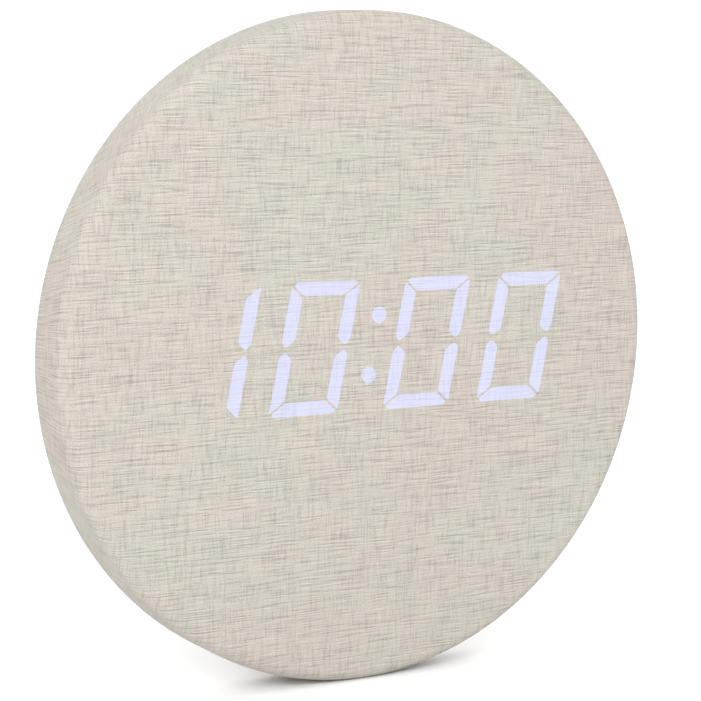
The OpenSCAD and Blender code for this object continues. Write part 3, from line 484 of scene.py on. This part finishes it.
def face_plan():
    """The flat face as points, faces, and the number of the first point of its round rim."""
    # Rows of cells that follow the weft, well inside the rim
    us = np.arange(-HALF_COLUMNS, HALF_COLUMNS + 1) * COLUMN
    vs = np.arange(-HALF_ROWS, HALF_ROWS + 1) * ROW
    inside = np.hypot(us[None, :], vs[:, None]) <= FLAT_R - ROW_CLEAR
    cells = inside[:-1, :-1] & inside[1:, :-1] & inside[:-1, 1:] & inside[1:, 1:]
    used = np.zeros_like(inside)
    for dv, du in ((0, 0), (1, 0), (0, 1), (1, 1)):
        used[dv:dv + cells.shape[0], du:du + cells.shape[1]] |= cells
    index = np.full(inside.shape, -1)
    index[used] = np.arange(used.sum())
    points = [(us[x], vs[y]) for y, x in zip(*np.nonzero(used))]
    faces = [(index[y, x], index[y, x + 1], index[y + 1, x + 1], index[y + 1, x])
             for y, x in zip(*np.nonzero(cells))]
    # The band between the rows' stepped outline and the round rim
    edges = dict.fromkeys(e for a, b, c, d in faces for e in ((a, b), (b, c), (c, d), (d, a)))
    outline = [e for e in edges if (e[1], e[0]) not in edges]
    border = sorted({i for e in outline for i in e})
    local = {i: k for k, i in enumerate(border)}
    ring = [(FLAT_R * math.cos(a), FLAT_R * math.sin(a)) for a in ANGLES]
    band_points = [Vector(points[i]) for i in border] + [Vector(p) for p in ring]
    n = len(border)
    band_edges = [(local[a], local[b]) for a, b in outline]
    band_edges += [(n + k, n + (k + 1) % RING_COUNT) for k in range(RING_COUNT)]
    made = delaunay_2d_cdt(band_points, band_edges, [], 0, 1e-9)
    places, band, sources = made[0], made[2], made[3]
    back = [source[0] for source in sources]
    first_ring = len(points)
    points += ring
    for face in band:
        middle = sum((places[i] for i in face), Vector((0, 0))) / len(face)
        x = int(np.floor(middle.x / COLUMN)) + HALF_COLUMNS
        y = int(np.floor(middle.y / ROW)) + HALF_ROWS
        if 0 <= y < cells.shape[0] and 0 <= x < cells.shape[1] and cells[y, x]:
            continue  # a cell of the rows is there already
        faces.append(tuple(border[back[i]] if back[i] < n else first_ring + back[i] - n
                           for i in face))
    return points, faces, first_ring


def close_inside(mesh, ring):
    """Closes the inside of the face with strips from one side of its ring to the other."""
    top, half = RING_COUNT // 4, RING_COUNT // 2
    for k in range(half):
        corners = [ring[(top + i) % RING_COUNT] for i in (k, k + 1, -k - 1, -k)]
        mesh.faces.new(list(dict.fromkeys(corners)))  # the first and last have three corners


def raise_slubs(mesh, u, v, rolled, shown):
    """Lifts the cloth that shows along its own normal, at the points u, v of its flat cut.

    rolled holds every point off the flat face, and shown the numbers of those that show.
    """
    lift = slub_height(u, v) - CLOTH_SINK
    position = np.array([x.co for x in mesh.verts])
    radius = np.hypot(position[:, 0], position[:, 2])
    for x in mesh.verts:
        i = x.index
        depth = position[i, 1]
        if x not in rolled:
            x.co.y = -lift[i]
        elif i in shown and (radius[i] > RADIUS - LIP_PLAIN or depth < EDGE_R):
            out_r, out_d = 1.0, 0.0
            if depth < EDGE_R:
                out_r, out_d = (radius[i] - FLAT_R) / EDGE_R, (depth - EDGE_R) / EDGE_R
            x.co.x += lift[i] * out_r * position[i, 0] / radius[i]
            x.co.z += lift[i] * out_r * position[i, 2] / radius[i]
            x.co.y += lift[i] * out_d


def linen_cover():
    """The stretched cover: a face with the lit segments cut in, a rolled rim, side and hem."""
    points, faces, first_ring = face_plan()
    mesh = bmesh.new()
    verts = [mesh.verts.new((u, 0, v)) for u, v in points]
    for face in faces:
        mesh.faces.new([verts[i] for i in face])
    cut_segments(mesh)
    # The rim, side and hem, ring by ring; flat holds each point's place in the flat cut
    outer, hidden = cover_profile()
    rings = [verts[first_ring:]]
    run, previous = FLAT_R, outer[0]
    flat = {}
    for r, d in outer[1:] + hidden:
        run += math.hypot(r - previous[0], d - previous[1])
        previous = (r, d)
        reach = min(run, UV_SPAN / 2)
        ring = [mesh.verts.new((r * math.cos(a), d, r * math.sin(a))) for a in ANGLES]
        for vert, a in zip(ring, ANGLES):
            flat[vert] = (reach * math.cos(a), reach * math.sin(a))
        rings.append(ring)
    for inner, outer_ring in zip(rings, rings[1:]):
        for k in range(RING_COUNT):
            j = (k + 1) % RING_COUNT
            mesh.faces.new((inner[k], inner[j], outer_ring[j], outer_ring[k]))
    close_inside(mesh, rings[-1])
    mesh.verts.index_update()
    u = np.array([flat[x][0] if x in flat else x.co.x for x in mesh.verts])
    v = np.array([flat[x][1] if x in flat else x.co.z for x in mesh.verts])
    raise_slubs(mesh, u, v, flat, {x.index for ring in rings[1:len(outer) - 1] for x in ring})
    for x in mesh.verts:
        x.co.y += FACE_Y
        x.co.z += MID_Z
    layer = mesh.loops.layers.uv.new("flat_cut")
    for face in mesh.faces:
        face.smooth = True
        for loop in face.loops:
            i = loop.vert.index
            loop[layer].uv = (0.5 + u[i] / UV_SPAN, 0.5 + v[i] / UV_SPAN)
    bmesh.ops.recalc_face_normals(mesh, faces=mesh.faces)
    return new_object("linen_cover", mesh, linen("linen", LINEN),
                      linen("linen_lit", LIT_BASE, lit=True))


def cut_segments(mesh):
    """Cuts each lit segment's outline into the face, and gives what lies inside material 1."""
    margin = 2.5 * MM  # faces this near a segment are the ones cut
    faces = list(mesh.faces)
    centres = np.array([face.calc_center_median() for face in faces])
    for shape in segment_shapes():
        low, high = np.min(shape, axis=0) - margin, np.max(shape, axis=0) + margin
        near = ((centres[:, 0] > low[0]) & (centres[:, 0] < high[0]) & (centres[:, 2] > low[1])
                & (centres[:, 2] < high[1]))
        patch = [faces[i] for i in np.nonzero(near)[0]]
        middle = np.mean(shape, axis=0)
        for a, b in zip(shape, shape[1:] + shape[:1]):
            normal = Vector((b[1] - a[1], 0, a[0] - b[0])).normalized()
            if normal.dot(Vector((middle[0] - a[0], 0, middle[1] - a[1]))) > 0:
                normal.negate()
            edges = {e for face in patch for e in face.edges}
            corners = {x for face in patch for x in face.verts}
            made = bmesh.ops.bisect_plane(mesh, geom=[*patch, *edges, *corners], dist=1e-7,
                                          plane_co=(a[0], 0, a[1]), plane_no=normal)
            # What lies outside this edge is finished; the rest goes on to the next edge
            patch = [g for g in made["geom"] if isinstance(g, bmesh.types.BMFace)
                     and (g.calc_center_median() - Vector((a[0], 0, a[1]))).dot(normal) < 0]
        for face in patch:
            face.material_index = 1
        faces = list(mesh.faces)
        centres = np.array([face.calc_center_median() for face in faces])


# ====================================================================
# Camera, floor and lights
# ====================================================================
# The camera as fitted to the disc and its digits: turned, tilted and rolled, in degrees, and
# the place of the face's middle in the camera's own axes (right, down, forward)
CAMERA_TURNS = (30.581, 7.632, 0.769)
FACE_MIDDLE = Vector((7.989, 0.294, 884.247)) * MM
LENS, SENSOR = 122.85, 36
FLOOR_R = 9.0
WORLD_LIGHT = 1.2
LAMPS = (("key", (-0.85, -1.30, 1.00), 0.9, 17.0),  # name, place, width, watts
         ("rear", (1.2, 1.9, 1.5), 1.4, 8.0))
LAMP_AIM = Vector((0, 0, 0.1))


def studio():
    """The camera, a plain pale floor, an even surround and two soft lamps."""
    turn, tilt, roll = (math.radians(a) for a in CAMERA_TURNS)
    to_camera = (Matrix.Rotation(roll, 3, "Z") @ Matrix.Rotation(tilt, 3, "X")
                 @ Matrix.Rotation(-turn, 3, "Y"))
    swap = Matrix(((1, 0, 0), (0, 0, 1), (0, -1, 0)))  # right, down, behind -> X, Y, Z
    place = swap @ (to_camera.transposed() @ -FACE_MIDDLE) + Vector((0, FACE_Y, MID_Z))
    right, down, forward = (swap @ axis for axis in to_camera)
    matrix = Matrix((right, -down, -forward)).transposed().to_4x4()
    matrix.translation = place
    data = bpy.data.cameras.new("camera")
    data.lens, data.sensor_width = LENS, SENSOR
    data.clip_start, data.clip_end = 0.05, 60
    camera = bpy.data.objects.new("camera", data)
    camera.matrix_world = matrix
    scene.collection.objects.link(camera)
    scene.camera = camera

    paper = Shader("studio_paper", (0.90, 0.90, 0.90), 0.75, Specular_IOR_Level=0.2)
    fibre = paper.noise(paper.place(), 900, 3)
    paper.finish(Base_Color=paper.blend(paper.span(fibre, 0.3, 0.7), (0.895, 0.895, 0.895),
                                        (0.905, 0.905, 0.905)),
                 Normal=paper.bump(fibre, 0.01 * MM))
    floor_mesh = bmesh.new()
    bmesh.ops.create_circle(floor_mesh, cap_ends=True, radius=FLOOR_R, segments=128)
    floor = new_object("floor", floor_mesh, paper.material)

    world = bpy.data.worlds.new("studio")
    world.use_nodes = True
    background = world.node_tree.nodes["Background"]
    background.inputs["Color"].default_value = (1.0, 1.0, 1.0, 1)
    background.inputs["Strength"].default_value = WORLD_LIGHT
    scene.world = world
    for name, place, size, power in LAMPS:
        lamp = bpy.data.lights.new(name, "AREA")
        lamp.shape, lamp.size, lamp.energy = "DISK", size, power
        light = bpy.data.objects.new(name, lamp)
        light.location = place
        aim = LAMP_AIM - Vector(place)
        light.rotation_euler = aim.to_track_quat("-Z", "Y").to_euler()
        scene.collection.objects.link(light)


# ====================================================================
# Pieces
# ====================================================================
def wear(node, material):
    """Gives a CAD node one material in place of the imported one."""
    data = nodes[node].data
    data.materials.clear()
    data.materials.append(material)


def dress_cad():
    """Gives every CAD node that stays its own look."""
    shell = moulded("shell_moulding", (0.47, 0.455, 0.425), 0.5)
    rear = moulded("rear_moulding", (0.50, 0.485, 0.455), 0.5)
    door = moulded("door_moulding", (0.50, 0.485, 0.455), 0.48)
    leg = moulded("leg_moulding", (0.48, 0.465, 0.435), 0.46)
    button = moulded("button_moulding", (0.42, 0.41, 0.385), 0.3, 0.2 * MM, 0.004 * MM)
    block = moulded("reflector_moulding", (0.86, 0.86, 0.86), 0.3, 0.4 * MM, 0.004 * MM)
    film = moulded("diffuser_sheet", (0.84, 0.84, 0.87), 0.55, 0.1 * MM, 0.006 * MM)
    ring = moulded("ring_moulding", (0.66, 0.65, 0.62), 0.5)
    black = moulded("black_moulding", (0.028, 0.028, 0.030), 0.42)
    epoxy = moulded("chip_epoxy", (0.022, 0.022, 0.024), 0.55, 0.15 * MM, 0.01 * MM)
    nylon = moulded("connector_nylon", (0.74, 0.69, 0.56), 0.4)
    acetal = moulded("plunger_acetal", (0.72, 0.68, 0.56), 0.35)
    steel = metal("zinc_steel", (0.56, 0.57, 0.58), 0.34)
    bright = metal("polished_pin", (0.66, 0.66, 0.67), 0.14, (0.08, 1, 1), 0.05)
    spring = metal("nickel_spring", (0.62, 0.61, 0.58), 0.25, (1, 0.2, 1), 0.08)
    can = metal("stainless_can", (0.60, 0.60, 0.59), 0.24, (1, 1, 0.1), 0.08)
    green = circuit_board("solder_resist", (0.035, 0.17, 0.08))
    low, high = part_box("battery_1")
    forward_cell = cell_sleeve("cell_sleeve_right", (0.06, 0.075, 0.10), high.x, low.x)
    low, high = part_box("battery_2")
    reversed_cell = cell_sleeve("cell_sleeve_left", (0.06, 0.075, 0.10), low.x, high.x)
    grey_rubber = rubber("grey_rubber", (0.14, 0.14, 0.14))
    looks = {
        "front_shell": shell, "hem_ring": ring, "diffuser_film": film, "light_block": block,
        "light_seal": foam("seal_foam", (0.03, 0.03, 0.03)), "display_board": green,
        "segment_leds": emitter("emitter_lens", (0.86, 0.86, 0.80)), "driver_chips": epoxy,
        "display_screws": steel, "microphone": can, "buzzer": black, "thermistor": epoxy,
        "display_connector": nylon, "ribbon_cable": ribbon_cable("flat_cable", (0.52, 0.53, 0.55)),
        "main_connector": nylon, "main_board": green, "controller_chip": epoxy, "crystal": can,
        "coin_holder": black, "coin_cell": can, "power_socket": black, "tact_switches": black,
        "main_board_screws": steel, "rear_cover": rear, "rear_cover_screws": steel,
        "battery_1": forward_cell, "battery_2": reversed_cell, "battery_3": forward_cell,
        "battery_springs": spring, "battery_contacts": spring,
        "battery_lead_red": rubber("red_insulation", (0.42, 0.02, 0.016), 0.45),
        "battery_lead_black": rubber("black_insulation", (0.02, 0.02, 0.02), 0.45),
        "battery_door": door, "door_pin": bright, "hanger_plate": steel, "hanger_screws": steel,
        "stand_leg": leg, "leg_pin": bright, "friction_washers": spring, "leg_pads": grey_rubber,
        "rim_feet": rubber("foot_rubber", (0.30, 0.295, 0.28)),
    }
    looks.update({f"plunger_{i}": acetal for i in range(1, 5)})
    looks.update({f"{key}_button": button for key in ("set", "up", "down", "light")})
    for node, material in looks.items():
        wear(node, material)


# The marks on the buttons: how far they stand out, go in, and are chamfered
MARK_RISE, MARK_SUNK, MARK_EDGE = 0.16 * MM, 0.1 * MM, 0.05 * MM
# Their sizes in millimetres
ARROW_R = 1.75
RING_R, RING_HOLE_R = 1.7, 1.2
SUN_R, RAY_START, RAY_END, RAY_HALF = 0.95, 1.35, 2.1, 0.16


def ring_of(radius, count, turn=0.0):
    """Points round a circle, in millimetres."""
    return [(radius * math.cos(turn + t), radius * math.sin(turn + t))
            for t in np.linspace(0, 2 * math.pi, count, endpoint=False)]


def raise_outline(mesh, outline, centre, level, hole=None):
    """Adds a low block with a chamfered top edge, standing on a button and facing +Y."""
    def loop(points, inset, y):
        middle = np.mean(points, axis=0)
        made = []
        for point in points:
            step = np.subtract(middle, point)
            x, z = np.array(point) * MM + step / max(np.hypot(*step), 1e-9) * inset
            made.append(mesh.verts.new((centre.x - x, y, centre.z + z)))
        return made

    def wall(a, b):
        for i in range(len(a)):
            j = (i + 1) % len(a)
            mesh.faces.new((a[i], a[j], b[j], b[i]))

    top = level + MARK_RISE
    heights = ((0, level - MARK_SUNK), (0, top - MARK_EDGE), (MARK_EDGE, top))
    outer = [loop(outline, inset, y) for inset, y in heights]
    for a, b in zip(outer, outer[1:]):
        wall(a, b)
    if hole:
        inner = [loop(hole, -inset, y) for inset, y in heights]
        for a, b in zip(inner, inner[1:]):
            wall(b, a)
        wall(outer[-1], inner[-1])
        wall(inner[0], outer[0])
    else:
        mesh.faces.new(outer[-1])
        mesh.faces.new(reversed(outer[0]))


def button_marks():
    """Raised marks on the four buttons: a ring to set, arrows for up and down, a sun for light."""
    arrow = ring_of(ARROW_R, 3, math.pi / 2)
    rays = []
    for t in np.linspace(0, 2 * math.pi, 8, endpoint=False):
        along, across = Vector((math.cos(t), math.sin(t))), Vector((-math.sin(t), math.cos(t)))
        rays.append([tuple(along * a + across * b)
                     for a, b in ((RAY_START, -RAY_HALF), (RAY_END, -RAY_HALF),
                                  (RAY_END, RAY_HALF), (RAY_START, RAY_HALF))])
    marks = {
        "set": [(ring_of(RING_R, 40), ring_of(RING_HOLE_R, 40))],
        "up": [(arrow, None)],
        "down": [([(x, -z) for x, z in arrow], None)],
        "light": [(ring_of(SUN_R, 32), None)] + [(ray, None) for ray in rays],
    }
    paint = moulded("mark_ink", (0.10, 0.10, 0.105), 0.5, 0.15 * MM, 0.004 * MM)
    for key, shapes in marks.items():
        low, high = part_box(f"{key}_button")
        mesh = bmesh.new()
        for outline, hole in shapes:
            raise_outline(mesh, outline, (low + high) / 2, high.y, hole)
        bmesh.ops.recalc_face_normals(mesh, faces=mesh.faces)
        mark = new_object(f"{key}_mark", mesh, paint)
        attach(mark, f"{key}_key")


studio()
dress_cad()
button_marks()

cover = linen_cover()
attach(cover, "case")
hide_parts("fabric_cover")
